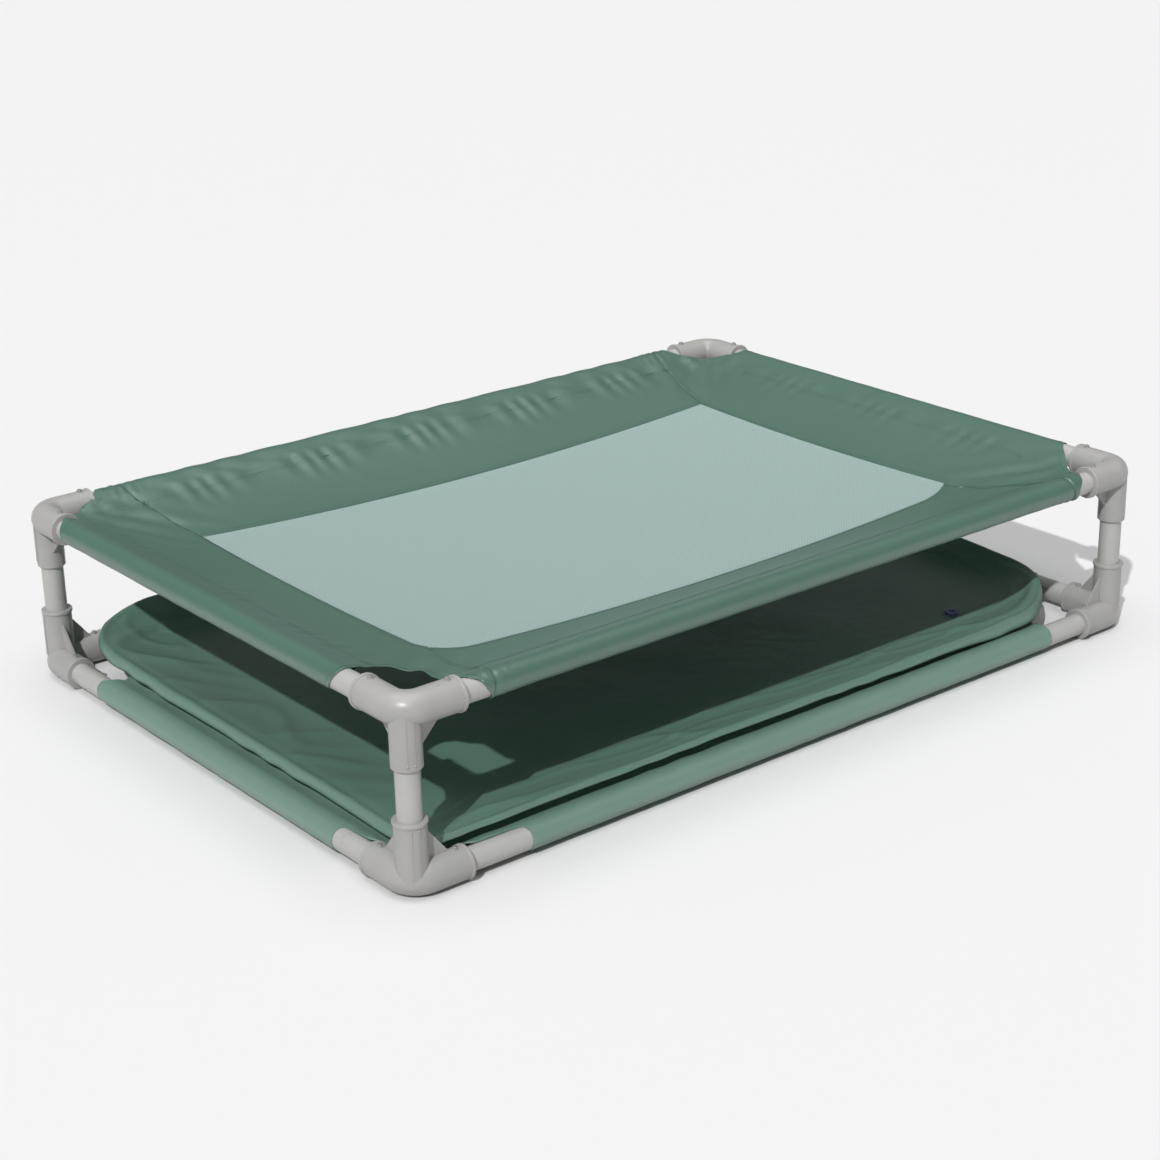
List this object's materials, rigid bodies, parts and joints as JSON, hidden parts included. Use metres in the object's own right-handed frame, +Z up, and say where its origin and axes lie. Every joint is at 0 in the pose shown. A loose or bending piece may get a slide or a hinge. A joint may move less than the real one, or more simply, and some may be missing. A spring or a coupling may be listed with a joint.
{
  "type": "elevated dog bed",
  "caption": "Raised pet cot: a mesh sling with coated cloth borders on a plastic pipe frame, over a lower deck with a soft drained water tub.",
  "frame": {"origin": "on the floor, under the middle of the bed", "axes": "+X along the long side, +Y from the front to the back, +Z up; the drain is in the floor of the tub, near its front right corner"},
  "size_m": [1.347, 0.963, 0.2725],
  "materials": {
    "pipe_plastic": "satin PVC pipe, faintly scuffed",
    "fitting_plastic": "moulded PVC with a fine grain",
    "screw_metal": "painted to the fittings' grey",
    "border_cloth": "coated polyester cloth with a soft sheen",
    "sling_mesh": "open woven mesh",
    "deck_cloth": "coated polyester cloth",
    "tub_cloth": "coated waterproof cloth, creased",
    "drain_plastic": "satin",
    "plug_plastic": "glossy"
  },
  "bodies": {
    "bed": {"top_fitting_front_left": "fitting_plastic", "top_fitting_front_right": "fitting_plastic", "top_fitting_back_right": "fitting_plastic", "top_fitting_back_left": "fitting_plastic", "bottom_fitting_front_left": "fitting_plastic", "bottom_fitting_front_right": "fitting_plastic", "bottom_fitting_back_right": "fitting_plastic", "bottom_fitting_back_left": "fitting_plastic", "top_rail_front": "pipe_plastic", "top_rail_right": "pipe_plastic", "top_rail_back": "pipe_plastic", "top_rail_left": "pipe_plastic", "bottom_rail_front": "pipe_plastic", "bottom_rail_right": "pipe_plastic", "bottom_rail_back": "pipe_plastic", "bottom_rail_left": "pipe_plastic", "leg_front_left": "pipe_plastic", "leg_front_right": "pipe_plastic", "leg_back_right": "pipe_plastic", "leg_back_left": "pipe_plastic", "top_rail_screws": "screw_metal", "bottom_rail_screws": "screw_metal", "sling_border_front": "border_cloth", "sling_border_right": "border_cloth", "sling_border_back": "border_cloth", "sling_border_left": "border_cloth", "mesh_panel": "sling_mesh", "lower_deck": "deck_cloth", "tub_liner": "tub_cloth", "drain_neck": "drain_plastic"},
    "plug": {"drain_plug": "plug_plastic"}
  },
  "joints": [
    {"name": "drain_plug_pull", "type": "slide", "parent": "bed", "child": "plug", "axis": [0, 0, 1], "range_m": [0, 0.015]}
  ]
}
